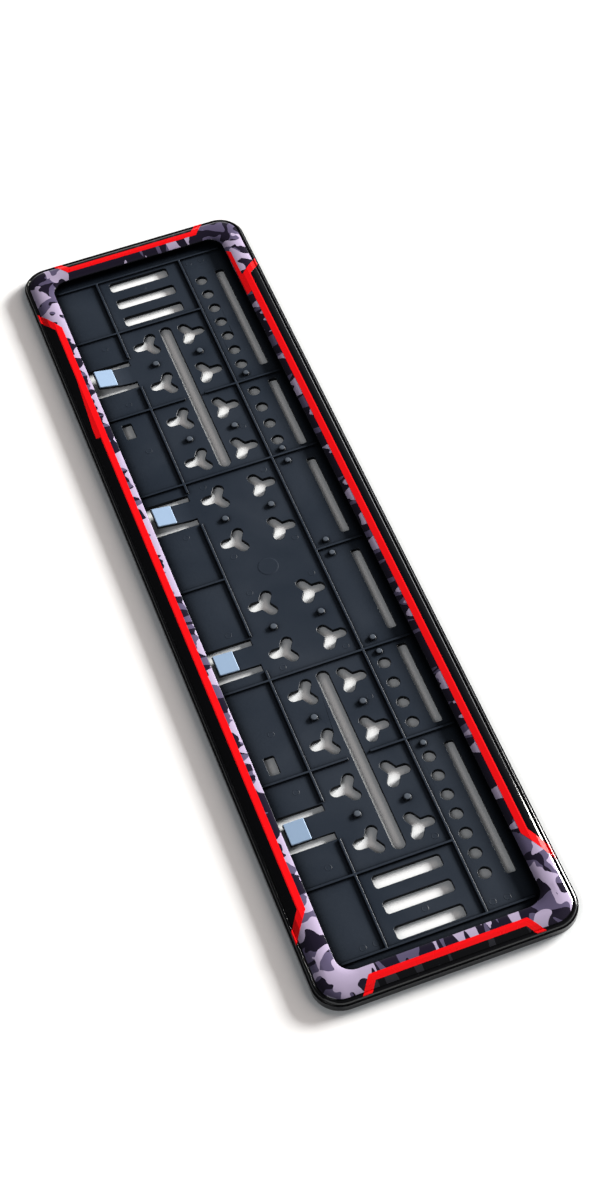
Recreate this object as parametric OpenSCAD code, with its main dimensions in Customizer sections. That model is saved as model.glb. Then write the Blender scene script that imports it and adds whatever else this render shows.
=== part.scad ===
// Number plate holder: a ribbed base tray and a printed bezel that snaps over its edge.
// X runs along the plate, Y across it, Z out of its face. The holder lies on its back.

/* [Bezel] */
// Outside length of the bezel
bezel_length = 535.4; // [532:0.2:545]
// Outside width of the bezel
bezel_width = 141.8; // [138:0.2:148]
// Height of the crest of the face above the surface the holder lies on
bezel_height = 7.8; // [7.4:0.1:9]
// Width of the face from the outside edge to the inner lip
face_width = 16.3; // [14:0.1:18]
// Radius of the outside corners
corner_radius = 15.5; // [15:0.5:24]
// Radius of the corners of the inner lip
lip_radius = 9; // [7:0.5:12]
// Thickness of the skirt
skirt_wall = 1.6; // [1.4:0.1:2]
// Height of the underside of the face
roof_height = 5.2; // [5:0.1:5.4]
// Width of the ledge round the foot of the outer bead
ledge_width = 0.8; // [0.6:0.1:1.2]
// Height of that ledge
ledge_height = 4.4; // [3.6:0.1:5]

/* [Base] */
// Thickness of the tray floor
floor_thickness = 2.4; // [2:0.1:2.8]
// Height of the stiffening ribs above the floor
rib_height = 1.1; // [0.8:0.1:1.5]
// Width of the ribs
rib_width = 1.4; // [1:0.1:2]
// Distance from the middle to the first full cross rib
cross_rib_1 = 73.1; // [70:0.1:74]
// Distance from the middle to the broken cross rib
cross_rib_2 = 134.8; // [133:0.1:138]
// Distance from the lip at the end to the outer cross rib
outer_rib_inset = 51; // [49.4:0.1:52.4]
// Distance from the lip at the end to the end rib
end_rib_inset = 6.2; // [3.4:0.1:7.4]
// Distance from the lip to the long rib on the hole side
hole_rib_inset = 28.7; // [27.6:0.1:29.6]
// Distance from the lip to the long rib on the latch side
latch_rib_inset = 26.8; // [26.2:0.1:27.6]
// Clearance between the tray and the inside of the skirt
tray_clearance = 0.3; // [0.2:0.05:0.6]
// Thickness of the wall round the tray
tray_wall = 1.8; // [1.4:0.1:2.4]

/* [Three-lobed screw holes] */
// Middle of the first pair from the middle of the holder
pair_first = 40.5; // [39:0.1:42]
// Distance from one pair to the next
pair_pitch = 63.7; // [63:0.1:65]
// Half the distance between the two holes of a pair
pair_half = 16.8; // [15:0.1:18]
// Distance of the rows from the middle line
lobe_row = 13.7; // [13:0.1:15]
// Radius of the lobes
lobe_radius = 3.1; // [2.6:0.1:3.4]
// Reach of the upright lobe from the middle of the hole
lobe_reach = 5.5; // [4.5:0.1:6]
// Reach of the two side lobes
side_reach = 6.3; // [5:0.1:6.8]
// Angle of the side lobes below the row
side_angle = 30; // [20:1:40]

/* [Round holes and slots] */
// Diameter of the round holes
round_hole = 7; // [6:0.1:8]
// Distance from the lip to the row of round holes
round_row_inset = 20.8; // [19.6:0.1:21.6]
// Distance from the first cross rib to the first round hole
inner_group_gap = 11.8; // [10.4:0.1:13]
// Pitch of the inner group
inner_group_pitch = 13.6; // [13:0.1:14]
// Distance from the lip at the end to the last round hole
end_group_inset = 28.1; // [26:0.1:30]
// Pitch of the end group
end_group_pitch = 12.4; // [12:0.1:12.8]
// Width of the long slots on the middle line
long_slot_width = 7; // [6:0.1:8]
// Gap from the first cross rib to the long slot
long_slot_inner_gap = 4.1; // [3.5:0.1:7]
// Gap from the long slot to the outer cross rib
long_slot_outer_gap = 5.5; // [3.4:0.1:10]
// Width of the cross slots at the ends
ladder_width = 7.7; // [6.5:0.1:8.5]
// Length of the cross slots
ladder_length = 37; // [33:0.5:40]
// Distance from the outer cross rib to the first cross slot
ladder_gap = 7.7; // [6.4:0.1:8.4]
// Pitch of the cross slots
ladder_pitch = 15.3; // [14.5:0.1:15.8]
// Width of the narrow slots along the side
side_slot_width = 5.4; // [4.5:0.1:6]
// Distance from the lip to the narrow slots
side_slot_inset = 7.9; // [7:0.1:8.8]

/* [Latches] */
// Distance from the first cross rib to the latch before it
latch_gap = 19; // [15:0.1:23]
// Width of the latch window
latch_window = 22.4; // [21:0.1:24]
// Width of the tongue
tongue_width = 13.6; // [12:0.1:15]
// Thickness of the tongue
tongue_thickness = 1.6; // [1.2:0.1:2]
// Distance from the lip to the fold of the tongue
fold_inset = 14.2; // [13.2:0.1:16]
// Length of the straight end
tongue_end = 11.8; // [10:0.1:12.5]
// Thickness of the pads on the tongues
pad_thickness = 0.8; // [0.5:0.1:1.2]

/* [Print] */
// Width of the red stripe
stripe_width = 4.1; // [3:0.1:5]
// Middle of the long stripes from the outside edge
stripe_inset_side = 10.4; // [8:0.1:11]
// Middle of the end stripes from the outside edge
stripe_inset_end = 8.8; // [8:0.1:11]
// Thickness of the printed layer
print_thickness = 0.15; // [0.1:0.01:0.3]
// Starting number for the spread of the camouflage patches
camo_seed = 11; // [1:1:60]

/* [Hidden] */
$fn = 48;
eps = 0.01;
over = 1;
half_length = bezel_length / 2;
half_width = bezel_width / 2;
lip_x = half_length - face_width;
lip_y = half_width - face_width;
cross_rib_3 = lip_x - outer_rib_inset;
end_rib = lip_x - end_rib_inset;
long_rib_hole_side = lip_y - hole_rib_inset;
long_rib_latch_side = lip_y - latch_rib_inset;
round_row = lip_y - round_row_inset;
inner_group_first = cross_rib_1 + inner_group_gap;
// Each group has as many holes as fit beside the second cross rib.
rib_to_hole = 6;
inner_group_holes = 1 + floor((cross_rib_2 - rib_to_hole - inner_group_first) / inner_group_pitch);
end_group_last = lip_x - end_group_inset;
end_group_holes = 1 + floor((end_group_last - cross_rib_2 - 2 * rib_to_hole) / end_group_pitch);
long_slot_start = cross_rib_1 + long_slot_inner_gap;
long_slot_end = cross_rib_3 - long_slot_outer_gap;
ladder_first = cross_rib_3 + ladder_gap;
side_slot_row = lip_y - side_slot_inset;
tongue_fold = lip_y - fold_inset;
latch_first = cross_rib_1 - latch_gap;
// The outer latch lies a little inside the middle of its bay.
latch_shift = 1.4;
latch_second = (cross_rib_2 + cross_rib_3) / 2 - latch_shift;
// The face climbs from the bead to a crest and falls again to the lip.
crest_inset = 9;
bead_drop = 1.4;
lip_drop = 0.9;
lip_round = 0.7;
sky = bezel_height + 3;
tray_x = half_length - skirt_wall - tray_clearance;
tray_y = half_width - skirt_wall - tray_clearance;
tray_radius = corner_radius - skirt_wall - tray_clearance;
// The broken cross ribs stop this far from the middle line, clear of the long slots.
stub_gap = 6.8;
boss_radius = 2;
boss_height = 1.3;
boss_row = 13.9;
boss_first = 5;
// Bosses in the row of round holes, from the rib beside them.
boss_before_rib = 5.7;
boss_after_rib = [4.2, 5.6];
small_boss_radius = 1.8;
// The cross ribs stop this far inside the lip, and the end ribs a little sooner.
rib_stop = 1;
end_rib_stop = 3;
// Gap between a latch window and the long rib beside it.
latch_rib_gap = 1.6;
// How far a latch window reaches below the face, and how far a tongue roots in the floor.
window_reach = 6;
tongue_root = 1;
window_start = long_rib_latch_side + rib_width / 2;
window_end = lip_y + window_reach;
tongue_middle = floor_thickness - tongue_thickness / 2;
pad_margin = 0.2;
pad_length = tongue_end - 0.5;
tongue_bend = tongue_fold - window_start;
// Lift of each tip, from the far end of the holder to the near one.
latch_x = [-latch_second, -latch_first, latch_first, latch_second];
latch_lift = [3.9, 2.9, 1.1, 0];
bend_steps = 8;
// As many pairs as fit before the outer cross rib.
lobe_margin = 10;
pairs = 1 + floor((cross_rib_3 - lobe_margin - pair_half - pair_first) / pair_pitch);
pair_middles = [for (i = [0:pairs - 1]) pair_first + i * pair_pitch];
// One long stripe swells towards a step, and the other has a short branch by the lip.
swell = [98, 146.1];
swell_width = 2.6;
swell_flat = 7;
branch = [30.5, 71];
branch_width = 2.5;
branch_slant = 3;
// The stripes turn outwards here, and the camouflage of the corners begins beyond.
stripe_far_inset = 54.2;
stripe_near_inset = 56.4;
latch_side_runs = [14, 13.5];
hole_side_runs = [8.6, 16];
end_runs = [5.2, 5.2];
end_stripe_inset = 29.9;
corner_zone = [55.7, 28.9];
stripe_far = half_length - stripe_far_inset;
stripe_near = half_length - stripe_near_inset;
end_stripe_half = half_width - end_stripe_inset;
corner_from_x = half_length - corner_zone[0];
corner_from_y = half_width - corner_zone[1];
bead_inset = ledge_width + 1.1;
lip_gap = 0.3;
// Camouflage: half sizes of the dashes and of the corner patches, and where these stand.
dashes_side = 11;
dashes_end = 4;
dash_size_side = [7.5, 2.8];
dash_size_end = [4, 3.4];
dash_middle_side = 2.5;
dash_middle_end = 3;
dash_strip = 4;
patch_size = [9, 5];
corner_reach = [19, 17, 19];
corner_spread = 50;
long_slot_y = -0.2;
ladder_y = -2.1;
ladder_corner = 1.8;
side_slot_corner = 1.6;
vent_corner = 1;
vent_hole = [11.7, 5.8];
vent_x = cross_rib_2 - 11;
vent_y = lip_y - 9.7;
// Start and end of the three narrow slots of each half, between the cross ribs.
side_slots = [
    [6.9, cross_rib_1 - 8.3],
    [cross_rib_1 + 3.4, cross_rib_2 - 4.1],
    [cross_rib_2 + 8.9, lip_x - 23.4],
];

// Outline of a rounded rectangle, given its half sizes and corner radius.
module roundedRect(hx, hy, r) {
    square([2 * hx, 2 * (hy - r)], center = true);
    square([2 * (hx - r), 2 * hy], center = true);
    for (sx = [-1, 1], sy = [-1, 1]) translate([sx * (hx - r), sy * (hy - r)]) circle(r);
}

// Straight slot between two points with round ends.
module slot2d(a, b, r) {
    d = b - a;
    translate(a) circle(r);
    translate(b) circle(r);
    translate(a) rotate(atan2(d[1], d[0])) translate([0, -r]) square([norm(d), 2 * r]);
}

// Slot with small corner radii.
module softSlot(cx, cy, sx, sy, r) {
    translate([cx, cy]) roundedRect(sx / 2, sy / 2, r);
}

// Sweeps a profile round a rounded rectangle. The profile holds [outward, height] pairs.
module ring(hx, hy, r, profile) {
    for (q = [0:3]) {
        sx = q == 0 || q == 3 ? 1 : -1;
        sy = q < 2 ? 1 : -1;
        translate([sx * (hx - r), sy * (hy - r), 0]) rotate(q * 90)
            rotate_extrude(angle = 90) polygon([for (p = profile) [r + p[0], p[1]]]);
    }
    for (s = [0, 180]) rotate(s) {
        translate([hx, hy - r, 0]) rotate([90, 0, 0]) linear_extrude(2 * (hy - r)) polygon(profile);
        translate([-hx + r, hy, 0]) rotate([90, 0, 90]) linear_extrude(2 * (hx - r)) polygon(profile);
    }
}

// What is cut off the plate to leave the bead, the groove and the outer slope.
outer_cut = [
    [over, ledge_height],
    [-ledge_width, ledge_height],
    [-ledge_width - 0.15, bezel_height - bead_drop - 1],
    [-ledge_width - 0.5, bezel_height - bead_drop - 0.3],
    [-ledge_width - 1.1, bezel_height - bead_drop],
    [-ledge_width - 1.6, bezel_height - bead_drop - 0.1],
    [-ledge_width - 1.8, bezel_height - bead_drop - 0.5],
    [-ledge_width - 2.2, bezel_height - bead_drop - 0.5],
    [-ledge_width - 2.5, bezel_height - bead_drop],
    [-ledge_width - 5, bezel_height - 0.45],
    [-crest_inset, bezel_height],
    [-crest_inset, sky],
    [over, sky],
];
// What is cut off to leave the inner slope and the rounded lip.
inner_cut = [
    [-over, bezel_height - lip_drop - lip_round],
    [0, bezel_height - lip_drop - lip_round],
    [0.2, bezel_height - lip_drop - 0.25],
    [lip_round, bezel_height - lip_drop],
    [4, bezel_height - 0.25],
    [face_width - crest_inset, bezel_height],
    [face_width - crest_inset, sky],
    [-over, sky],
];

// The moulded face with its slopes, from the ground up.
module faceBody() {
    difference() {
        linear_extrude(bezel_height) difference() {
            roundedRect(half_length, half_width, corner_radius);
            roundedRect(lip_x, lip_y, lip_radius);
        }
        ring(half_length, half_width, corner_radius, outer_cut);
        ring(lip_x, lip_y, lip_radius, inner_cut);
    }
}

module bezel() {
    color([0.03, 0.03, 0.035]) difference() {
        faceBody();
        translate([0, 0, -over]) linear_extrude(roof_height + over)
            roundedRect(half_length - skirt_wall, half_width - skirt_wall, corner_radius - skirt_wall);
    }
}

module trefoil2d() {
    slot2d([0, 0], [0, lobe_reach], lobe_radius);
    for (s = [-1, 1])
        slot2d([0, 0], [s * side_reach * cos(side_angle), -side_reach * sin(side_angle)], lobe_radius);
}

module floorHoles2d() {
    for (s = [-1, 1], m = pair_middles, h = [-1, 1]) {
        translate([s * (m + h * pair_half), lobe_row]) trefoil2d();
        translate([s * (m + h * pair_half), -lobe_row]) rotate(180) trefoil2d();
    }
    for (s = [-1, 1]) {
        for (i = [0:inner_group_holes - 1]) translate([s * (inner_group_first + i * inner_group_pitch), round_row])
            circle(d = round_hole);
        for (i = [0:end_group_holes - 1]) translate([s * (end_group_last - i * end_group_pitch), round_row])
            circle(d = round_hole);
        for (i = [0:2])
            softSlot(s * (ladder_first + i * ladder_pitch), ladder_y, ladder_width, ladder_length, ladder_corner);
        slot2d([s * (long_slot_start + long_slot_width / 2), long_slot_y],
            [s * (long_slot_end - long_slot_width / 2), long_slot_y], long_slot_width / 2);
        for (c = side_slots)
            softSlot(s * (c[0] + c[1]) / 2, side_slot_row, c[1] - c[0], side_slot_width, side_slot_corner);
        softSlot(s * vent_x, -vent_y, vent_hole[0], vent_hole[1], vent_corner);
    }
    for (x = latch_x) translate([x, -(window_start + window_end) / 2])
        square([latch_window, window_end - window_start], center = true);
}

// Straight rib from one point to another, standing on the floor.
module rib(a, b) {
    d = b - a;
    translate([a[0], a[1], floor_thickness - eps]) rotate(atan2(d[1], d[0]))
        translate([-rib_width / 2, -rib_width / 2, 0]) cube([norm(d) + rib_width, rib_width, rib_height + eps]);
}

module ribs() {
    top = lip_y - rib_stop;
    end_top = lip_y - end_rib_stop;
    for (s = [-1, 1]) {
        rib([s * cross_rib_1, -top], [s * cross_rib_1, top]);
        rib([s * cross_rib_2, -top], [s * cross_rib_2, -stub_gap]);
        rib([s * cross_rib_2, stub_gap], [s * cross_rib_2, top]);
        rib([s * cross_rib_3, -top], [s * cross_rib_3, long_rib_hole_side]);
        rib([s * end_rib, -end_top], [s * end_rib, end_top]);
    }
    rib([0, long_rib_hole_side], [0, top]);
    rib([0, -top], [0, -long_rib_latch_side]);
    rib([-end_rib, long_rib_hole_side], [end_rib, long_rib_hole_side]);
    gap = latch_window / 2 + latch_rib_gap;
    stops = concat([-end_rib], [for (x = latch_x, g = [-gap, gap]) x + g], [end_rib]);
    for (i = [0:4]) rib([stops[2 * i], -long_rib_latch_side], [stops[2 * i + 1], -long_rib_latch_side]);
}

module bosses() {
    for (s = [-1, 1]) {
        for (m = pair_middles, y = [-boss_row, boss_row]) translate([s * m, y, floor_thickness - eps])
            cylinder(r = boss_radius, h = boss_height + eps, $fn = 32);
        for (x = [boss_first, cross_rib_1 - boss_before_rib, cross_rib_1 + boss_after_rib[0],
            cross_rib_2 + boss_after_rib[1]])
            translate([s * x, round_row, floor_thickness - eps])
                cylinder(r = small_boss_radius, h = boss_height + eps, $fn = 32);
    }
}

// Angle of a tongue's straight end. The tongue bends evenly from its root to the fold.
function tip(i) = latch_lift[i] / (tongue_bend / 2 + tongue_end) * 180 / PI;

// Point of the tongue's middle line at a distance from its root, as [y, z].
function bent(i, run) = tip(i) == 0
    ? [-window_start - run, tongue_middle]
    : let (r = tongue_bend * 180 / (PI * tip(i)), turn = tip(i) * run / tongue_bend)
        [-window_start - r * sin(turn), tongue_middle + r * (1 - cos(turn))];

// Direction square to the tongue at a share of its bend.
function upright(i, share) = [sin(tip(i) * share), cos(tip(i) * share)];

// Places its children at the fold of a latch, tipped with the end of the tongue.
module atFold(i) {
    fold = bent(i, tongue_bend);
    translate([latch_x[i], fold[0], fold[1]]) rotate([-tip(i), 0, 0]) children();
}

// Each tongue is one side view: rooted in the floor, bent upwards, then straight.
module tongues() {
    h = tongue_thickness / 2;
    for (i = [0:3]) {
        steps = tip(i) == 0 ? 1 : bend_steps;
        shares = [for (k = [1:steps]) k / steps];
        end = bent(i, tongue_bend) + tongue_end * [-cos(tip(i)), sin(tip(i))];
        translate([latch_x[i] - tongue_width / 2, 0, 0]) rotate([90, 0, 90]) linear_extrude(tongue_width)
            polygon(concat(
                [[tongue_root - window_start, tongue_middle + h], [tongue_root - window_start, tongue_middle - h]],
                [for (k = shares) bent(i, k * tongue_bend) - h * upright(i, k)],
                [end - h * upright(i, 1), end + h * upright(i, 1)],
                [for (k = [steps - 1:-1:0]) bent(i, shares[k] * tongue_bend) + h * upright(i, shares[k])]
            ));
    }
}

module base_plate() {
    color([0.14, 0.16, 0.19]) union() {
        linear_extrude(floor_thickness) difference() {
            roundedRect(tray_x, tray_y, tray_radius);
            floorHoles2d();
        }
        linear_extrude(roof_height) difference() {
            roundedRect(tray_x, tray_y, tray_radius);
            roundedRect(tray_x - tray_wall, tray_y - tray_wall, tray_radius - tray_wall);
        }
        ribs();
        bosses();
        tongues();
    }
}

module pad(i) {
    color([0.62, 0.7, 0.78]) atFold(i)
        translate([-tongue_width / 2 + pad_margin, -pad_length - pad_margin, tongue_thickness / 2])
            cube([tongue_width - 2 * pad_margin, pad_length, pad_thickness]);
}

module pad_1() pad(0);
module pad_2() pad(1);
module pad_3() pad(2);
module pad_4() pad(3);

// A thin skin of print on the face, inside the flat shape given.
module printed() {
    difference() {
        intersection() {
            linear_extrude(sky) children();
            translate([0, 0, print_thickness]) faceBody();
        }
        faceBody();
    }
}

// The red line of one side: straight along the side, then out to the edge at both ends.
// The runs say how far it goes along the side while it turns out, at the far and the near end.
module sideStripe(side, inset, far, near, runs) {
    w = stripe_width / 2;
    y = side - inset;
    out = side - ledge_width - 0.6;
    rise = out - y;
    half = [for (run = runs) w * norm([run, rise]) / rise];
    mitre = [for (run = runs) w * tan(atan(rise / run) / 2)];
    polygon([
        [-far - mitre[0], y - w], [near + mitre[1], y - w],
        [near + runs[1] + half[1], out], [near + runs[1] - half[1], out],
        [near - mitre[1], y + w], [-far + mitre[0], y + w],
        [-far - runs[0] + half[0], out], [-far - runs[0] - half[0], out],
    ]);
}

// The swelling of a long stripe, on its outer side.
module swell2d() {
    y = half_width - stripe_inset_side + stripe_width / 2;
    polygon([
        [swell[0] - half_length, y - eps], [swell[1] - half_length, y - eps],
        [swell[1] - half_length, y + swell_width], [swell[1] - half_length - swell_flat, y + swell_width],
    ]);
}

// The short branch along the lip, which joins the long stripe near its bend.
module branch2d() {
    y = lip_y + lip_gap;
    top = y + branch_width;
    joint = half_width - stripe_inset_side;
    polygon([
        [branch[0] - half_length, y], [branch[1] - half_length, y],
        [branch[1] - half_length - branch_slant, joint], [-stripe_far + 1, joint],
        [-stripe_far - 1, top], [branch[0] - half_length + branch_width, top],
    ]);
}

module stripes2d() {
    mirror([0, 1]) swell2d();
    branch2d();
    sideStripe(half_width, stripe_inset_side, stripe_far, stripe_near, hole_side_runs);
    mirror([0, 1]) sideStripe(half_width, stripe_inset_side, stripe_far, stripe_near, latch_side_runs);
    rotate(-90) sideStripe(half_length, stripe_inset_end, end_stripe_half, end_stripe_half, end_runs);
    rotate(90) sideStripe(half_length, stripe_inset_end, end_stripe_half, end_stripe_half, end_runs);
}

module red_stripes() {
    color([0.95, 0.03, 0.06]) printed() stripes2d();
}

// A patch with a wavy edge round a middle point, with its half sizes and its turn.
function patch(middle, size, turn, seed, n) =
    let (k = rands(0.12, 0.28, 2, seed), p = rands(0, 360, 2, seed + 1))
    [for (i = [0:n - 1])
        let (a = i * 360 / n,
            r = 1 + k[0] * sin(2 * a + p[0]) + k[1] * sin(3 * a + p[1]),
            x = r * size[0] * cos(a),
            y = r * size[1] * sin(a))
        [middle[0] + x * cos(turn) - y * sin(turn), middle[1] + x * sin(turn) + y * cos(turn)]];

// The part of the face that takes camouflage: the corners, and the strip between lip and stripe.
module camoField2d() {
    difference() {
        union() {
            difference() {
                roundedRect(half_length - bead_inset, half_width - bead_inset, corner_radius - bead_inset);
                square([2 * corner_from_x, bezel_width], center = true);
                square([bezel_length, 2 * corner_from_y], center = true);
            }
            roundedRect(lip_x + dash_strip, lip_y + dash_strip, lip_radius + dash_strip);
        }
        roundedRect(lip_x + lip_gap, lip_y + lip_gap, lip_radius + lip_gap);
        stripes2d();
    }
}

// Dashes along the four sides, each reaching from the lip to the stripe.
module dashes2d(shift) {
    for (s = [-1, 1], i = [0:dashes_side - 1]) {
        seed = camo_seed + 10 * i + 3 * s + 7 * shift;
        jog = rands(-0.25, 0.25, 1, seed)[0];
        x = corner_from_x * (-1 + 2 * (i + 0.5 + jog + shift / 2) / dashes_side);
        polygon(patch([x, s * (lip_y + dash_middle_side)], dash_size_side, 0, seed, 12));
    }
    for (s = [-1, 1], i = [0:dashes_end - 1]) {
        seed = camo_seed + 10 * i + 5 * s + 200 + 7 * shift;
        y = corner_from_y * (-1 + 2 * (i + 0.5 + shift / 2) / dashes_end);
        polygon(patch([s * (lip_x + dash_middle_end), y], dash_size_end, 0, seed, 12));
    }
}

// Larger patches round each corner, set out on an arc about the corner of the lip.
module cornerPatches2d(shift) {
    for (sx = [-1, 1], sy = [-1, 1], i = [0:2]) {
        seed = camo_seed + 10 * i + 31 * sx + 17 * sy + 5 * shift;
        a = 45 + (i - 1 + shift / 2) * corner_spread;
        reach = corner_reach[i];
        turn = rands(0, 180, 1, seed)[0];
        polygon(patch([sx * (lip_x - lip_radius + reach * cos(a)), sy * (lip_y - lip_radius + reach * sin(a))],
            patch_size, turn, seed, 16));
    }
}

module lightPatches2d() {
    intersection() {
        camoField2d();
        union() {
            dashes2d(0);
            cornerPatches2d(0);
        }
    }
}

module camo_light() {
    color([0.72, 0.68, 0.8]) printed() lightPatches2d();
}

module camo_dark() {
    color([0.3, 0.28, 0.38]) printed() difference() {
        intersection() {
            camoField2d();
            cornerPatches2d(1);
        }
        lightPatches2d();
    }
}

base_plate();
bezel();
pad_1();
pad_2();
pad_3();
pad_4();
red_stripes();
camo_light();
camo_dark();
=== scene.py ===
import math

import bmesh
import bpy
from mathutils import Matrix, Vector


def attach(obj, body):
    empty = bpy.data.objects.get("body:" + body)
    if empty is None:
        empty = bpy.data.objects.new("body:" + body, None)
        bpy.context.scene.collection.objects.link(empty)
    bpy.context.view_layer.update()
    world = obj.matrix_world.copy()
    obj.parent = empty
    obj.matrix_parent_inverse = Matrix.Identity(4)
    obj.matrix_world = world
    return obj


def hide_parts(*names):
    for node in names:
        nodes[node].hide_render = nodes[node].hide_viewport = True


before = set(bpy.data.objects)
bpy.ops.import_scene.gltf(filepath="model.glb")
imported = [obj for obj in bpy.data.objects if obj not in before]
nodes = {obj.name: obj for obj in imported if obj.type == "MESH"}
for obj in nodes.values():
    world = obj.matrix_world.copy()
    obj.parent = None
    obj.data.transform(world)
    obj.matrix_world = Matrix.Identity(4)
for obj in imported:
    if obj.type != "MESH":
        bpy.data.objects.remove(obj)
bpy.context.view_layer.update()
mm = 0.001  # sizes in the dictionaries are millimetres, but for those of the studio
tiny = 1e-6  # metres: what counts as one point
scene = bpy.context.scene
scene.view_settings.view_transform = "Standard"
print("stage: frame loaded")


# Small helpers

def newMaterial(name):
    mat = bpy.data.materials.new(name)
    mat.use_nodes = True
    return mat, mat.node_tree, mat.node_tree.nodes["Principled BSDF"]


def put(obj, *mats):
    obj.data.materials.clear()
    for mat in mats:
        obj.data.materials.append(mat)


def newPiece(name, data):
    obj = bpy.data.objects.new(name, data)
    scene.collection.objects.link(obj)
    return obj


def addNode(tree, kind, **settings):
    node = tree.nodes.new(kind)
    for key, value in settings.items():
        setattr(node, key, value)
    return node


def feed(tree, socket, value):
    # a value is a number, a colour or another node's output
    if isinstance(value, bpy.types.NodeSocket):
        tree.links.new(value, socket)
    else:
        socket.default_value = value


def calc(tree, operation, a, b=0.0, c=None):
    node = addNode(tree, "ShaderNodeMath", operation=operation)
    feed(tree, node.inputs[0], a)
    feed(tree, node.inputs[1], b)
    if c is not None:
        feed(tree, node.inputs[2], c)
    return node.outputs[0]


def mixColour(tree, factor, a, b):
    # a Mix node has sockets for each type of value: 6, 7 and output 2 are its colours
    node = addNode(tree, "ShaderNodeMix", data_type="RGBA")
    feed(tree, node.inputs[0], factor)
    feed(tree, node.inputs[6], a)
    feed(tree, node.inputs[7], b)
    return node.outputs[2]


def pick(tree, factor, a, b):
    node = addNode(tree, "ShaderNodeMix", data_type="FLOAT")
    feed(tree, node.inputs[0], factor)
    feed(tree, node.inputs[2], a)
    feed(tree, node.inputs[3], b)
    return node.outputs[0]


def ramp(tree, value, fromRange, toRange, kind="SMOOTHSTEP"):
    # a step from one level to another, smooth or straight
    node = addNode(tree, "ShaderNodeMapRange", interpolation_type=kind)
    feed(tree, node.inputs["Value"], value)
    feed(tree, node.inputs["From Min"], fromRange[0])
    feed(tree, node.inputs["From Max"], fromRange[1])
    feed(tree, node.inputs["To Min"], toRange[0])
    feed(tree, node.inputs["To Max"], toRange[1])
    return node.outputs[0]


def newGroup(name, inputs, outputs):
    group = bpy.data.node_groups.new(name, "ShaderNodeTree")
    for label, kind, value in inputs:
        socket = group.interface.new_socket(label, in_out="INPUT", socket_type=kind)
        socket.default_value = value
    for label, kind in outputs:
        group.interface.new_socket(label, in_out="OUTPUT", socket_type=kind)
    return group, addNode(group, "NodeGroupInput"), addNode(group, "NodeGroupOutput")


def useGroup(tree, group, **values):
    node = addNode(tree, "ShaderNodeGroup")
    node.node_tree = group
    for label, value in values.items():
        feed(tree, node.inputs[label], value)
    return node


def bridge(bm, lower, upper):
    # a band of faces between two closed rows of points
    count = len(lower)
    faces = []
    for i in range(count):
        j = (i + 1) % count
        faces.append(bm.faces.new((lower[i], lower[j], upper[j], upper[i])))
    return faces


def meshFrom(bm, name, smooth=False):
    bmesh.ops.recalc_face_normals(bm, faces=bm.faces)
    mesh = bpy.data.meshes.new(name)
    bm.to_mesh(mesh)
    bm.free()
    if smooth:
        for polygon in mesh.polygons:
            polygon.use_smooth = True
    return mesh


def roundedLoop(hx, hy, radius, steps):
    # a rectangle with round corners about its middle, by its half sizes
    points = []
    for sx, sy, start in ((1, 1, 0), (-1, 1, 90), (-1, -1, 180), (1, -1, 270)):
        for i in range(steps + 1):
            a = math.radians(start + 90 * i / steps)
            points.append((sx * (hx - radius) + radius * math.cos(a),
                           sy * (hy - radius) + radius * math.sin(a)))
    return points


# Surface effects that several materials share
surface = {
    "grainDetail": 3.0,
    "mottleDetail": 4.0,
    "mottleTwist": 0.6,
}


def mouldGrainGroup():
    # fine grain of a moulded surface, and the slow mottle of its gloss
    group, start, end = newGroup(
        "mouldGrain",
        [("GrainScale", "NodeSocketFloat", 2500.0), ("MottleScale", "NodeSocketFloat", 30.0)],
        [("Height", "NodeSocketFloat"), ("Mottle", "NodeSocketFloat")],
    )
    place = addNode(group, "ShaderNodeTexCoord").outputs["Object"]
    grain = addNode(group, "ShaderNodeTexNoise")
    feed(group, grain.inputs["Vector"], place)
    feed(group, grain.inputs["Scale"], start.outputs["GrainScale"])
    feed(group, grain.inputs["Detail"], surface["grainDetail"])
    slow = addNode(group, "ShaderNodeTexNoise")
    feed(group, slow.inputs["Vector"], place)
    feed(group, slow.inputs["Scale"], start.outputs["MottleScale"])
    feed(group, slow.inputs["Detail"], surface["mottleDetail"])
    feed(group, slow.inputs["Distortion"], surface["mottleTwist"])
    feed(group, end.inputs["Height"], grain.outputs["Fac"])
    feed(group, end.inputs["Mottle"], slow.outputs["Fac"])
    return group


mouldGrain = mouldGrainGroup()


def addGrain(tree, look):
    return useGroup(tree, mouldGrain, GrainScale=look["grainScale"], MottleScale=look["mottleScale"])


def mottledColour(tree, grain, look):
    return mixColour(tree, grain.outputs["Mottle"], look["colour"], look["otherColour"])


def mottledGloss(tree, grain, look):
    return ramp(tree, grain.outputs["Mottle"], look["mottleRange"], look["roughness"], "LINEAR")


def addBump(tree, shader, grain, look):
    bump = addNode(tree, "ShaderNodeBump")
    feed(tree, bump.inputs["Strength"], look["grainStrength"])
    feed(tree, bump.inputs["Distance"], look["grainDepth"] * mm)
    feed(tree, bump.inputs["Height"], grain.outputs["Height"])
    feed(tree, shader.inputs["Normal"], bump.outputs[0])


def mottledMaterial(name, look):
    # a colour and a gloss that drift a little over the surface
    mat, tree, shader = newMaterial(name)
    grain = addGrain(tree, look)
    feed(tree, shader.inputs["Base Color"], mottledColour(tree, grain, look))
    feed(tree, shader.inputs["Roughness"], mottledGloss(tree, grain, look))
    if "grainDepth" in look:
        addBump(tree, shader, grain, look)
    return mat


# Edges
edges = {
    "sameSpot": 0.002,
    "flatAngle": 0.5,
    "segments": 3,
    "smoothAngle": 34,
}


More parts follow.
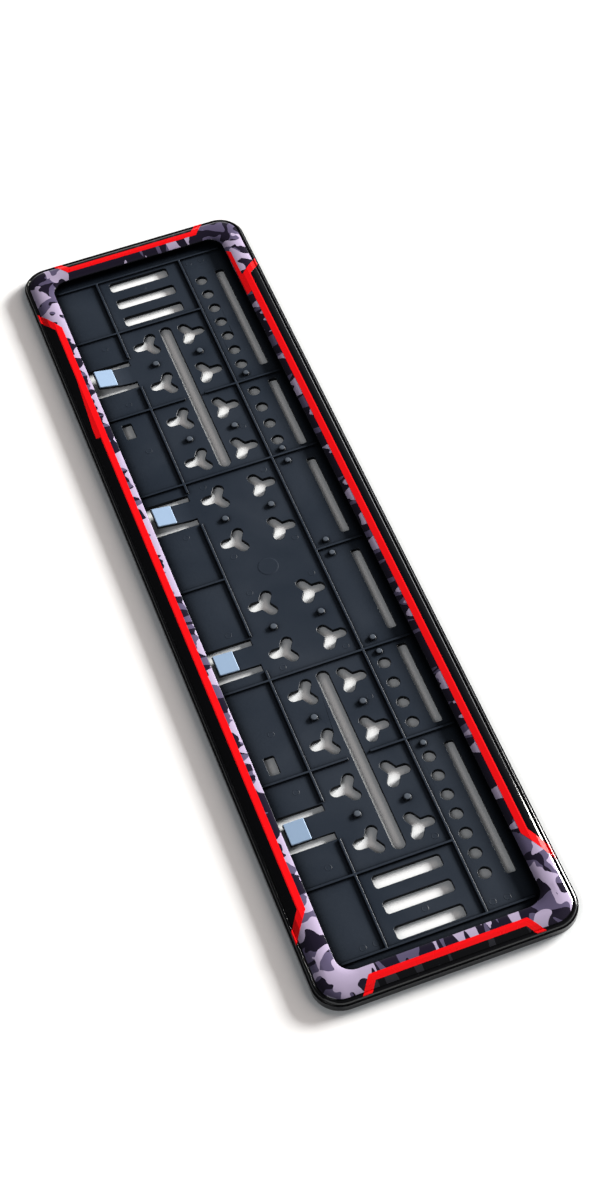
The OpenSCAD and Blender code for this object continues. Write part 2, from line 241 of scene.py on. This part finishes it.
def smoothByAngleTree():
    # shades all faces smooth and keeps the edges above the angle sharp
    tree = bpy.data.node_groups.new("smoothByAngle", "GeometryNodeTree")
    tree.interface.new_socket("Geometry", in_out="INPUT", socket_type="NodeSocketGeometry")
    angle = tree.interface.new_socket("Angle", in_out="INPUT", socket_type="NodeSocketFloat")
    angle.default_value = math.radians(edges["smoothAngle"])
    tree.interface.new_socket("Geometry", in_out="OUTPUT", socket_type="NodeSocketGeometry")
    start = addNode(tree, "NodeGroupInput")
    end = addNode(tree, "NodeGroupOutput")
    soft = addNode(tree, "GeometryNodeSetShadeSmooth", domain="FACE")
    hard = addNode(tree, "GeometryNodeSetShadeSmooth", domain="EDGE")
    turn = addNode(tree, "GeometryNodeInputMeshEdgeAngle")
    sharp = addNode(tree, "FunctionNodeCompare", data_type="FLOAT", operation="GREATER_THAN")
    feed(tree, soft.inputs["Geometry"], start.outputs["Geometry"])
    feed(tree, hard.inputs["Geometry"], soft.outputs["Geometry"])
    feed(tree, sharp.inputs["A"], turn.outputs["Unsigned Angle"])
    feed(tree, sharp.inputs["B"], start.outputs["Angle"])
    feed(tree, hard.inputs["Selection"], sharp.outputs["Result"])
    feed(tree, hard.inputs["Shade Smooth"], False)
    feed(tree, end.inputs["Geometry"], hard.outputs["Geometry"])
    return tree


smoothTree = smoothByAngleTree()


def roundEdges(obj, look):
    # the CAD mesh stays as it is: flat faces joined up, a bevel round the edges and even shading
    weld = obj.modifiers.new("weld", "WELD")
    weld.merge_threshold = edges["sameSpot"] * mm
    flat = obj.modifiers.new("joinFlatFaces", "DECIMATE")
    flat.decimate_type = "DISSOLVE"
    flat.angle_limit = math.radians(edges["flatAngle"])
    bevel = obj.modifiers.new("edgeRound", "BEVEL")
    bevel.width = look["edgeRound"] * mm
    bevel.segments = edges["segments"]
    bevel.limit_method = "ANGLE"
    bevel.angle_limit = math.radians(look["edgeAngle"])
    bevel.use_clamp_overlap = False
    smooth = obj.modifiers.new("smoothByAngle", "NODES")
    smooth.node_group = smoothTree
    weighted = obj.modifiers.new("evenShading", "WEIGHTED_NORMAL")
    weighted.keep_sharp = True


# Tray
tray = {
    "colour": (0.0155, 0.0225, 0.035, 1),
    "otherColour": (0.024, 0.0335, 0.0505, 1),
    "roughness": (0.33, 0.46),
    "mottleRange": (0.3, 0.7),
    "grainScale": 1900.0,
    "mottleScale": 22.0,
    "grainStrength": 0.35,
    "grainDepth": 0.04,
    "specular": 0.5,
    # painted shade near walls and the lip: its colour, reach, levels and samples
    "shadeColour": (0, 0, 0, 1),
    "shadeReach": 18.0,
    "shadeFrom": (0.74, 0.96),
    "shadeLeast": 0.12,
    "shadeSamples": 6,
    "edgeRound": 0.32,
    "edgeAngle": 50,
}


def trayMaterial(name, look):
    mat, tree, shader = newMaterial(name)
    grain = addGrain(tree, look)
    # painted shade: darker where walls and the lip stand close by, in colour and in reflection
    opening = addNode(tree, "ShaderNodeAmbientOcclusion", samples=look["shadeSamples"])
    feed(tree, opening.inputs["Distance"], look["shadeReach"] * mm)
    shade = ramp(tree, opening.outputs["AO"], look["shadeFrom"], (look["shadeLeast"], 1.0))
    shaded = mixColour(tree, shade, look["shadeColour"], mottledColour(tree, grain, look))
    feed(tree, shader.inputs["Base Color"], shaded)
    feed(tree, shader.inputs["Specular IOR Level"], calc(tree, "MULTIPLY", shade, look["specular"]))
    feed(tree, shader.inputs["Roughness"], mottledGloss(tree, grain, look))
    addBump(tree, shader, grain, look)
    return mat


trayMat = trayMaterial("satinTrayPlastic", tray)
put(nodes["base_plate"], trayMat)
roundEdges(nodes["base_plate"], tray)
print("stage: tray")


# Marks that the moulding tool leaves on the tray's floor
marks = {
    "floor": 2.4,
    "sink": 0.1,
    # rings by their inset from the rim and their rise over the floor
    "pinRadius": 1.9,
    "pinRings": [(0.15, 0.07), (0.3, 0.07), (0.6, 0.02)],
    "pinSteps": 28,
    "gateRadius": 6.0,
    "gateRings": [(0.5, 0.12)],
    "gateSteps": 48,
    "gatePlace": (0.0, -2.5),
    # each row: its place across, its distances along at both ends, and those at the near end only
    "pinRows": [
        (18.5, (13.5, 66.8, 102.3), (194.3,)),
        (-18.2, (13.5, 67.3), ()),
        (-38.7, (36.3, 105.2, 143.7, 191.5), (240.0,)),
        (39.0, (240.0,), ()),
        (31.0, (240.0,), ()),
        (-31.6, (240.0,), ()),
        (-1.8, (231.0,), ()),
    ],
}


def addDisc(bm, x, y, profile, steps):
    # a turned disc, by the radius and height of its rings from the lowest up
    rings = []
    for radius, z in profile:
        ring = []
        for i in range(steps):
            a = 2 * math.pi * i / steps
            spot = ((x + radius * math.cos(a)) * mm, (y + radius * math.sin(a)) * mm, z * mm)
            ring.append(bm.verts.new(spot))
        rings.append(ring)
    for lower, upper in zip(rings, rings[1:]):
        bridge(bm, lower, upper)
    bm.faces.new(rings[-1])
    bm.faces.new(list(reversed(rings[0])))


def markProfile(radius, rings):
    # from just inside the floor, so that no gap shows
    z = marks["floor"]
    profile = [(radius, z - marks["sink"]), (radius, z)]
    return profile + [(radius - inset, z + rise) for inset, rise in rings]


def markMesh():
    bm = bmesh.new()
    pin = markProfile(marks["pinRadius"], marks["pinRings"])
    for y, both, nearOnly in marks["pinRows"]:
        for x in [side * d for d in both for side in (-1, 1)] + list(nearOnly):
            addDisc(bm, x, y, pin, marks["pinSteps"])
    gate = markProfile(marks["gateRadius"], marks["gateRings"])
    addDisc(bm, *marks["gatePlace"], gate, marks["gateSteps"])
    return meshFrom(bm, "mouldMarks")


mouldMarks = newPiece("mouldMarks", markMesh())
put(mouldMarks, trayMat)
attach(mouldMarks, "root")
print("stage: mould marks")


# Rounded tops of the small pegs, painted paler than the tray for the light their tops catch
pegs = {
    # painted light: a paler copy of the tray's plastic colour, standing in for the light the pegs'
    # tops catch
    "colour": (0.075, 0.09, 0.112, 1),
    "otherColour": (0.1, 0.118, 0.145, 1),
    "top": 3.7,
    "over": 0.03,
    # rings by their inset from the side and their rise over the top
    "rings": [(0.0, -0.5), (0.07, -0.25), (0.25, -0.05), (0.5, 0.05), (0.9, 0.09)],
    "crownShare": 0.25,
    "crownRise": 0.11,
    "steps": 28,
    "radius": 2.0,
    "row": 13.9,
    "along": (40.5, 104.2, 167.9),
    "smallRadius": 1.8,
    "smallRow": 33.8,
    "smallAlong": (5.0, 67.4, 77.3, 140.4),
}


def pegProfile(radius):
    r = radius + pegs["over"]
    profile = [(r, marks["floor"] - marks["sink"])]
    profile += [(r - inset, pegs["top"] + rise) for inset, rise in pegs["rings"]]
    return profile + [(r * pegs["crownShare"], pegs["top"] + pegs["crownRise"])]


def pegMesh():
    bm = bmesh.new()
    large, small = pegProfile(pegs["radius"]), pegProfile(pegs["smallRadius"])
    for side in (-1, 1):
        for x in pegs["along"]:
            for y in (-pegs["row"], pegs["row"]):
                addDisc(bm, side * x, y, large, pegs["steps"])
        for x in pegs["smallAlong"]:
            addDisc(bm, side * x, pegs["smallRow"], small, pegs["steps"])
    return meshFrom(bm, "pegTops", smooth=True)


def paintedLightPegLook():
    # the tray's look with the paler colours of painted light
    look = dict(tray)
    look["colour"] = pegs["colour"]
    look["otherColour"] = pegs["otherColour"]
    return look


pegTops = newPiece("pegTops", pegMesh())
put(pegTops, trayMaterial("paintedLightPegPlastic", paintedLightPegLook()))
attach(pegTops, "root")
print("stage: pegs")


# Bezel
bezel = {
    "colour": (0.002, 0.002, 0.0025, 1),
    "otherColour": (0.0035, 0.0035, 0.0045, 1),
    "roughness": (0.07, 0.14),
    "mottleRange": (0.3, 0.7),
    "grainScale": 700.0,
    "mottleScale": 40.0,
    "grainStrength": 0.1,
    "grainDepth": 0.01,
    "edgeRound": 0.14,
    "edgeAngle": 24,
    "halfLength": 267.7,
    "halfWidth": 70.9,
    "faceWidth": 16.3,
    "cornerRadius": 15.5,
    "lipRadius": 9.0,
}

put(nodes["bezel"], mottledMaterial("glossBezelPlastic", bezel))
roundEdges(nodes["bezel"], bezel)
print("stage: bezel")


# Print on the bezel's face
redLines = {
    "colour": (0.95, 0.003, 0.006, 1),
    "otherColour": (0.88, 0.002, 0.005, 1),
    "roughness": (0.2, 0.34),
    "mottleRange": (0.0, 1.0),
    "grainScale": 900.0,
    "mottleScale": 90.0,
}
filmPrint = {
    "lilac": (0.43, 0.36, 0.51, 1),
    "violetGrey": (0.10, 0.083, 0.15, 1),
    "deepViolet": (0.012, 0.009, 0.02, 1),
    "black": (0.002, 0.002, 0.003, 1),
    "charcoal": (0.022, 0.022, 0.028, 1),
    "roughness": (0.05, 0.09),
    "mottleRange": (0.0, 1.0),
    "grainScale": 500.0,
    "mottleScale": 60.0,
    # the film's own form: from the lip outwards, then from the outer edge inwards, with heights
    "fromLip": [(0.2, 6.65), (0.7, 6.9), (4.0, 7.55), (7.3, 7.8)],
    "fromEdge": [(9.0, 7.8), (5.8, 7.35), (3.6, 6.514), (3.3, 6.4)],
    "halfThickness": 0.08,
    "cornerSteps": 14,
    "sharpAngle": 40,
    # the red lines, which part the patches from the plain outer band
    "stripeInsetSide": 10.4,
    "stripeInsetEnd": 8.8,
    "bendFar": 213.5,
    "bendNear": 211.3,
    "bendEnd": 41.0,
    "sideRise": 9.0,
    "latchSideRuns": (14.0, 13.5),
    "holeSideRuns": (8.6, 16.0),
    "endRise": 7.4,
    "endRuns": (5.2, 5.2),
    # the patches: a place is light or of the middle tone where the noise is above its level
    "patchScale": 84.0,
    "patchSeed": 21.54,
    "patchDetail": 1.0,
    "patchRoughness": 0.3,
    "patchTwist": 0.9,
    "middleSeed": 3.7,
    "lightLevel": 0.54,
    "middleLevel": 0.52,
    "latchFade": 0.045,
    "latchBias": 0.14,
    "holeFade": 0.026,
    "holeBias": 0.095,
    "latchMiddle": 0.03,
    "holeMiddle": 0.07,
    "endMiddle": 0.06,
    "endLight": 0.03,
    "endLevelReach": (36, 46),
    # how the pattern is drawn together across the strips and packed along them
    "stripMiddle": 3.0,
    "sideSquash": 0.4,
    "sideSquashReach": (210, 226),
    "sideCrowding": 0.35,
    "endSquash": 0.45,
    "endSquashReach": (40, 48),
    "endCrowding": 0.9,
}


def camoGroup():
    # two tones of rounded patches over a dark ground, by levels of slow noise
    group, start, end = newGroup(
        "camoPatches",
        [("Place", "NodeSocketVector", (0, 0, 0)), ("Scale", "NodeSocketFloat", 60.0),
         ("LightLevel", "NodeSocketFloat", 0.56), ("MiddleLevel", "NodeSocketFloat", 0.52),
         ("Shift", "NodeSocketFloat", 0.0)],
        [("Light", "NodeSocketFloat"), ("Middle", "NodeSocketFloat")],
    )
    for label, seed, level in (("Light", 0.0, "LightLevel"),
                               ("Middle", filmPrint["middleSeed"], "MiddleLevel")):
        field = addNode(group, "ShaderNodeTexNoise", noise_dimensions="4D")
        feed(group, field.inputs["Vector"], start.outputs["Place"])
        feed(group, field.inputs["W"], calc(group, "ADD", start.outputs["Shift"], seed))
        feed(group, field.inputs["Scale"], start.outputs["Scale"])
        feed(group, field.inputs["Detail"], filmPrint["patchDetail"])
        feed(group, field.inputs["Roughness"], filmPrint["patchRoughness"])
        feed(group, field.inputs["Distortion"], filmPrint["patchTwist"])
        above = calc(group, "GREATER_THAN", field.outputs["Fac"], start.outputs[level])
        feed(group, end.inputs[label], above)
    return group


camoPatches = camoGroup()


def pastStripe(tree, along, across, bends, slopes, line):
    # 1 on the outer side of a stripe that runs straight and then slants outwards
    farWay = calc(tree, "SUBTRACT", calc(tree, "MULTIPLY", along, -1.0), bends[0])
    nearWay = calc(tree, "SUBTRACT", along, bends[1])
    far = calc(tree, "MULTIPLY", farWay, slopes[0])
    near = calc(tree, "MULTIPLY", nearWay, slopes[1])
    over = calc(tree, "MAXIMUM", calc(tree, "MAXIMUM", far, near), 0.0)
    return calc(tree, "GREATER_THAN", across, calc(tree, "ADD", over, line))


def slopesOf(rise, runs):
    return [rise / run for run in runs]


def outerBands(tree, x, y, absX):
    # masks of the bands outside the red lines, along the sides and at the ends
    sideLine = bezel["halfWidth"] - filmPrint["stripeInsetSide"]
    endLine = bezel["halfLength"] - filmPrint["stripeInsetEnd"]
    sideBends = (filmPrint["bendFar"], filmPrint["bendNear"])
    endBends = (filmPrint["bendEnd"], filmPrint["bendEnd"])
    holeSlopes = slopesOf(filmPrint["sideRise"], filmPrint["holeSideRuns"])
    latchSlopes = slopesOf(filmPrint["sideRise"], filmPrint["latchSideRuns"])
    endSlopes = slopesOf(filmPrint["endRise"], filmPrint["endRuns"])
    minusY = calc(tree, "MULTIPLY", y, -1.0)
    holeSide = pastStripe(tree, x, y, sideBends, holeSlopes, sideLine)
    latchSide = pastStripe(tree, x, minusY, sideBends, latchSlopes, sideLine)
    ends = pastStripe(tree, y, absX, endBends, endSlopes, endLine)
    return calc(tree, "MAXIMUM", holeSide, latchSide), ends


def patchLevels(tree, y, absX, absY):
    # on the latch side the pale dashes lie by the lip, on the side with the holes by the stripe
    alongSide = calc(tree, "LESS_THAN", absX, filmPrint["bendNear"])
    onHoleSide = calc(tree, "GREATER_THAN", y, 0.0)
    fromLip = calc(tree, "SUBTRACT", absY, bezel["halfWidth"] - bezel["faceWidth"])
    latchLight = calc(tree, "MULTIPLY_ADD", fromLip, filmPrint["latchFade"], -filmPrint["latchBias"])
    holeLight = calc(tree, "MULTIPLY_ADD", fromLip, -filmPrint["holeFade"], filmPrint["holeBias"])
    lightShift = pick(tree, onHoleSide, latchLight, holeLight)
    middleShift = pick(tree, onHoleSide, filmPrint["latchMiddle"], filmPrint["holeMiddle"])
    levels = []
    for shift, level, endShift in ((lightShift, filmPrint["lightLevel"], filmPrint["endLight"]),
                                   (middleShift, filmPrint["middleLevel"], filmPrint["endMiddle"])):
        shifted = calc(tree, "MULTIPLY_ADD", shift, alongSide, level)
        atEnds = ramp(tree, absY, filmPrint["endLevelReach"], (endShift, 0.0))
        levels.append(calc(tree, "ADD", shifted, atEnds))
    return levels


def squashed(tree, value, middle, absAlong, reach, squash):
    # draws a strip's pattern together across the strip, so that its patches run across it
    out = calc(tree, "SUBTRACT", calc(tree, "ABSOLUTE", value), middle)
    factor = ramp(tree, absAlong, reach, (squash, 1.0))
    moved = calc(tree, "MULTIPLY_ADD", out, factor, middle)
    return calc(tree, "MULTIPLY", calc(tree, "MULTIPLY", moved, calc(tree, "SIGN", value)), mm)


def crowded(tree, value, reach, share):
    # what packs a strip's pattern closer along the strip, up to the strip's ends
    inside = calc(tree, "MINIMUM", calc(tree, "MAXIMUM", value, -reach), reach)
    return calc(tree, "MULTIPLY", inside, share * mm)


def patchPlace(tree, x, y, absX, absY):
    inset = bezel["faceWidth"] - filmPrint["stripMiddle"]
    acrossEnd = squashed(tree, x, bezel["halfLength"] - inset, absY,
                         filmPrint["endSquashReach"], filmPrint["endSquash"])
    acrossSide = squashed(tree, y, bezel["halfWidth"] - inset, absX,
                          filmPrint["sideSquashReach"], filmPrint["sideSquash"])
    alongSide = crowded(tree, x, filmPrint["bendNear"], filmPrint["sideCrowding"])
    alongEnd = crowded(tree, y, filmPrint["bendEnd"], filmPrint["endCrowding"])
    spot = addNode(tree, "ShaderNodeCombineXYZ")
    feed(tree, spot.inputs[0], calc(tree, "ADD", acrossEnd, alongSide))
    feed(tree, spot.inputs[1], calc(tree, "ADD", acrossSide, alongEnd))
    return spot.outputs[0]


def camoMaterial():
    mat, tree, shader = newMaterial("camoPrintUnderGloss")
    split = addNode(tree, "ShaderNodeSeparateXYZ")
    feed(tree, split.inputs[0], addNode(tree, "ShaderNodeTexCoord").outputs["Object"])
    x = calc(tree, "MULTIPLY", split.outputs[0], 1 / mm)
    y = calc(tree, "MULTIPLY", split.outputs[1], 1 / mm)
    absX = calc(tree, "ABSOLUTE", x)
    absY = calc(tree, "ABSOLUTE", y)
    sides, ends = outerBands(tree, x, y, absX)
    light, middle = patchLevels(tree, y, absX, absY)
    camo = useGroup(tree, camoPatches, Place=patchPlace(tree, x, y, absX, absY),
                    Scale=filmPrint["patchScale"], Shift=filmPrint["patchSeed"],
                    LightLevel=light, MiddleLevel=middle)
    inMiddle = camo.outputs["Middle"]
    colour = mixColour(tree, inMiddle, filmPrint["deepViolet"], filmPrint["violetGrey"])
    colour = mixColour(tree, camo.outputs["Light"], colour, filmPrint["lilac"])
    colour = mixColour(tree, sides, colour, filmPrint["black"])
    dim = mixColour(tree, inMiddle, filmPrint["black"], filmPrint["charcoal"])
    colour = mixColour(tree, ends, colour, dim)
    feed(tree, shader.inputs["Base Color"], colour)
    grain = addGrain(tree, filmPrint)
    feed(tree, shader.inputs["Roughness"], mottledGloss(tree, grain, filmPrint))
    return mat


def faceStations():
    # half length, half width, corner radius and height along the face, from lip to groove
    hx, hy, face = bezel["halfLength"], bezel["halfWidth"], bezel["faceWidth"]
    rows = []
    for out, z in filmPrint["fromLip"]:
        rows.append((hx - face + out, hy - face + out, bezel["lipRadius"] + out, z))
    for inset, z in filmPrint["fromEdge"]:
        rows.append((hx - inset, hy - inset, bezel["cornerRadius"] - inset, z))
    return rows


def filmMesh():
    # the film's top comes down to the face at both of its edges
    bm = bmesh.new()
    half = filmPrint["halfThickness"]
    rows = faceStations()
    lifts = [0.0] + [half] * (len(rows) - 2) + [0.0]
    levels = [(row, row[3] + lift) for row, lift in zip(rows, lifts)]
    levels += [(row, row[3] - half) for row in reversed(rows)]
    loops = []
    for (hx, hy, radius, _), z in levels:
        outline = roundedLoop(hx, hy, radius, filmPrint["cornerSteps"])
        loops.append([bm.verts.new((x * mm, y * mm, z * mm)) for x, y in outline])
    for k, loop in enumerate(loops):
        bridge(bm, loop, loops[(k + 1) % len(loops)])
    bmesh.ops.remove_doubles(bm, verts=bm.verts, dist=tiny)
    bmesh.ops.dissolve_degenerate(bm, edges=bm.edges, dist=tiny)
    mesh = meshFrom(bm, "printFilm", smooth=True)
    mesh.set_sharp_from_angle(angle=math.radians(filmPrint["sharpAngle"]))
    return mesh


film = newPiece("printFilm", filmMesh())
put(film, camoMaterial())
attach(film, "root")
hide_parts("camo_light", "camo_dark")
put(nodes["red_stripes"], mottledMaterial("redStripePrint", redLines))
print("stage: print")


# Tape pads: white foam with a pale liner on it
pads = {
    "liner": {
        "colour": (0.31, 0.43, 0.6, 1),
        "otherColour": (0.275, 0.39, 0.56, 1),
        "roughness": (0.4, 0.6),
        "mottleRange": (0.0, 1.0),
        "grainScale": 1200.0,
        "mottleScale": 150.0,
    },
    "foam": {
        "colour": (0.86, 0.87, 0.89, 1),
        "otherColour": (0.66, 0.67, 0.7, 1),
        "roughness": 0.85,
        "grainScale": 3000.0,
        "mottleScale": 300.0,
        "grainStrength": 1.0,
        "grainDepth": 0.1,
    },
    "corner": 0.6,
    "cornerSteps": 4,
    # levels by their inset from the side and their share of the height, foam first
    "levels": [(0.0, 0.0), (0.04, 0.25), (0.0, 0.8), (0.28, 0.98), (0.32, 1.0)],
    "linerFrom": 3,
}


def foamMaterial():
    look = pads["foam"]
    mat, tree, shader = newMaterial("whiteTapeFoam")
    grain = addGrain(tree, look)
    feed(tree, shader.inputs["Base Color"], mottledColour(tree, grain, look))
    feed(tree, shader.inputs["Roughness"], look["roughness"])
    addBump(tree, shader, grain, look)
    return mat


linerMat = mottledMaterial("paleTapeLiner", pads["liner"])
foamMat = foamMaterial()


def padFrame(node):
    # the pad's first corner, its length, its thickness and its width, from its CAD node
    points = {tuple(round(c, 7) for c in v.co) for v in nodes[node].data.vertices}
    left = min(p[0] for p in points)
    width = max(p[0] for p in points) - left
    corners = sorted((Vector(p) for p in points if abs(p[0] - left) < tiny), key=lambda p: p.y)
    tip = sorted(corners[:2], key=lambda p: p.z)
    root = sorted(corners[2:], key=lambda p: p.z)
    return root[0], tip[0] - root[0], root[1] - root[0], width


def padMesh(name, node):
    origin, along, up, width = padFrame(node)
    bm = bmesh.new()
    halfWidth, halfLength = width / 2, along.length / 2
    forward = along.normalized()
    middle = origin + Vector((halfWidth, 0, 0)) + forward * halfLength
    loops = []
    for inset, level in pads["levels"]:
        outline = roundedLoop(halfWidth - inset * mm, halfLength - inset * mm,
                              (pads["corner"] - inset) * mm, pads["cornerSteps"])
        base = middle + up * level
        loops.append([bm.verts.new(base + Vector((x, 0, 0)) + forward * y) for x, y in outline])
    for k, (lower, upper) in enumerate(zip(loops, loops[1:])):
        for face in bridge(bm, lower, upper):
            face.material_index = 0 if k >= pads["linerFrom"] else 1
    bm.faces.new(loops[-1]).material_index = 0
    bm.faces.new(list(reversed(loops[0]))).material_index = 1
    return meshFrom(bm, name)


for k in range(1, 5):
    pad = newPiece("tapePad_%d" % k, padMesh("tapePad_%d" % k, "pad_%d" % k))
    put(pad, linerMat, foamMat)
    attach(pad, "root")
    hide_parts("pad_%d" % k)
print("stage: pads")


# Floor, sky and lamps, in metres
studio = {
    "floor": {
        "colour": (0.89, 0.915, 0.93, 1),
        "otherColour": (0.92, 0.935, 0.945, 1),
        "grainScale": 400.0,
        "mottleScale": 3.0,
    },
    "floorHalf": 8.0,
    "floorDrop": 0.0003,
    "floorGlow": 0.30,
    "glowColour": (1.0, 0.87, 0.80, 1),
    # painted shade in the floor's glow near the holder: its reach, levels and samples
    "glowReach": 0.06,
    "glowFrom": (0.75, 0.98),
    "glowSamples": 8,
    "farWhite": (0.9, 3.2),
    "skyColour": (0.95, 0.97, 1.0, 1),
    "seenColour": (1, 1, 1, 1),
    "skyLeft": 0.06,
    "skyRight": 0.17,
    "skySides": (-0.3, 0.5),
    "skyDark": 0.05,
    "darkSide": (-0.56, 0.17, 0.81),
    "darkReach": (0.8, 0.97),
    "skyHorizon": 0.65,
    "horizonReach": (0.0, 0.22),
    "edgeSide": (-0.56, 0.82, 0.1),
    "edgeGlow": 9.0,
    "edgeReach": (0.98, 0.992),
    "keyLamp": {
        "place": (-1.78, 7.16, 2.54),
        "size": (3.2, 1.5),
        "power": 1600.0,
        "colour": (1.0, 0.98, 0.95),
    },
    "fillLamp": {
        "place": (2.2, -3.0, 3.3),
        "size": (2.2, 2.2),
        "power": 45.0,
        "colour": (0.97, 0.98, 1.0),
    },
}


def floorGlow(tree, seen):
    # the white of the surroundings as a glow only the camera sees: painted shade where the holder
    # stands close, full far away
    opening = addNode(tree, "ShaderNodeAmbientOcclusion", samples=studio["glowSamples"])
    feed(tree, opening.inputs["Distance"], studio["glowReach"])
    share = ramp(tree, opening.outputs["AO"], studio["glowFrom"], (0.0, studio["floorGlow"]))
    away = addNode(tree, "ShaderNodeVectorMath", operation="LENGTH")
    feed(tree, away.inputs[0], addNode(tree, "ShaderNodeTexCoord").outputs["Object"])
    far = ramp(tree, away.outputs["Value"], studio["farWhite"], (0.0, 1.0))
    glow = addNode(tree, "ShaderNodeEmission")
    feed(tree, glow.inputs["Color"], studio["glowColour"])
    feed(tree, glow.inputs["Strength"], calc(tree, "MULTIPLY", seen, calc(tree, "ADD", share, far)))
    return glow.outputs[0]


def floorMaterial():
    mat, tree, shader = newMaterial("paleFloor")
    tree.nodes.remove(shader)
    grain = addGrain(tree, studio["floor"])
    matte = addNode(tree, "ShaderNodeBsdfDiffuse")
    feed(tree, matte.inputs["Color"], mottledColour(tree, grain, studio["floor"]))
    seen = addNode(tree, "ShaderNodeLightPath").outputs["Is Camera Ray"]
    total = addNode(tree, "ShaderNodeAddShader")
    feed(tree, total.inputs[0], matte.outputs[0])
    feed(tree, total.inputs[1], floorGlow(tree, seen))
    # seen from below the floor is clear, so that the back can be looked at
    under = addNode(tree, "ShaderNodeNewGeometry").outputs["Backfacing"]
    below = addNode(tree, "ShaderNodeMixShader")
    feed(tree, below.inputs[0], calc(tree, "MULTIPLY", under, seen))
    feed(tree, below.inputs[1], total.outputs[0])
    feed(tree, below.inputs[2], addNode(tree, "ShaderNodeBsdfTransparent").outputs[0])
    feed(tree, tree.nodes["Material Output"].inputs["Surface"], below.outputs[0])
    return mat


def addFloor():
    half, z = studio["floorHalf"], -studio["floorDrop"]
    corners = [(sx * half, sy * half, z) for sx, sy in ((-1, -1), (1, -1), (1, 1), (-1, 1))]
    mesh = bpy.data.meshes.new("floor")
    mesh.from_pydata(corners, [], [(0, 1, 2, 3)])
    floor = newPiece("floor", mesh)
    put(floor, floorMaterial())


def towards(tree, way, side):
    # 1 where a ray runs straight to that side, less the further it turns away
    dot = addNode(tree, "ShaderNodeVectorMath", operation="DOT_PRODUCT")
    feed(tree, dot.inputs[0], way)
    feed(tree, dot.inputs[1], Vector(side).normalized())
    return dot.outputs["Value"]


def setWorld():
    # a dim room, lighter to the right, pale at the horizon and dark where the face looks,
    # with one small bright place that shows in the edges. The camera itself sees plain white
    world = bpy.data.worlds.new("studioWorld")
    scene.world = world
    world.use_nodes = True
    tree = world.node_tree
    sky = tree.nodes["Background"]
    way = addNode(tree, "ShaderNodeTexCoord").outputs["Generated"]
    split = addNode(tree, "ShaderNodeSeparateXYZ")
    feed(tree, split.inputs[0], way)
    side = ramp(tree, split.outputs[1], studio["skySides"], (studio["skyLeft"], studio["skyRight"]))
    dark = ramp(tree, towards(tree, way, studio["darkSide"]), studio["darkReach"], (0.0, 1.0))
    level = ramp(tree, dark, (0.0, 1.0), (side, studio["skyDark"]))
    low = ramp(tree, split.outputs[2], studio["horizonReach"], (studio["skyHorizon"], 0.0))
    edge = ramp(tree, towards(tree, way, studio["edgeSide"]), studio["edgeReach"],
                (0.0, studio["edgeGlow"]))
    seen = addNode(tree, "ShaderNodeLightPath").outputs["Is Camera Ray"]
    total = calc(tree, "MAXIMUM", calc(tree, "MAXIMUM", level, low), edge)
    feed(tree, sky.inputs["Strength"], calc(tree, "MAXIMUM", total, seen))
    feed(tree, sky.inputs["Color"], mixColour(tree, seen, studio["skyColour"], studio["seenColour"]))


def addLamp(name):
    # a flat lamp that is turned to the middle of the holder
    look = studio[name]
    data = bpy.data.lights.new(name, "AREA")
    data.shape = "RECTANGLE"
    data.size, data.size_y = look["size"]
    data.energy = look["power"]
    data.color = look["colour"]
    lamp = newPiece(name, data)
    lamp.location = look["place"]
    lamp.rotation_mode = "QUATERNION"
    lamp.rotation_quaternion = (-Vector(look["place"])).to_track_quat("-Z", "Y")


addFloor()
setWorld()
addLamp("keyLamp")
addLamp("fillLamp")


# The photo's viewpoint: the camera's place in metres, and what is right and down in the picture
viewpoint = {
    "place": (0.71909, -0.19984, 0.99460),
    "right": (0.3455, 0.9373, -0.0460),
    "down": (0.7507, -0.3054, -0.5858),
    "focalPixels": 2219.64,
    "photoHeight": 1200,
    "sensor": 36.0,
    "clip": (0.05, 50),
}


def addCamera():
    data = bpy.data.cameras.new("photoCamera")
    data.sensor_width = viewpoint["sensor"]
    data.lens = viewpoint["sensor"] * viewpoint["focalPixels"] / viewpoint["photoHeight"]
    data.clip_start, data.clip_end = viewpoint["clip"]
    camera = newPiece("photoCamera", data)
    right = Vector(viewpoint["right"]).normalized()
    up = -Vector(viewpoint["down"])
    up = (up - right * up.dot(right)).normalized()
    turn = Matrix((right, up, right.cross(up))).transposed()
    camera.matrix_world = Matrix.Translation(viewpoint["place"]) @ turn.to_4x4()
    scene.camera = camera


addCamera()
print("stage: studio")
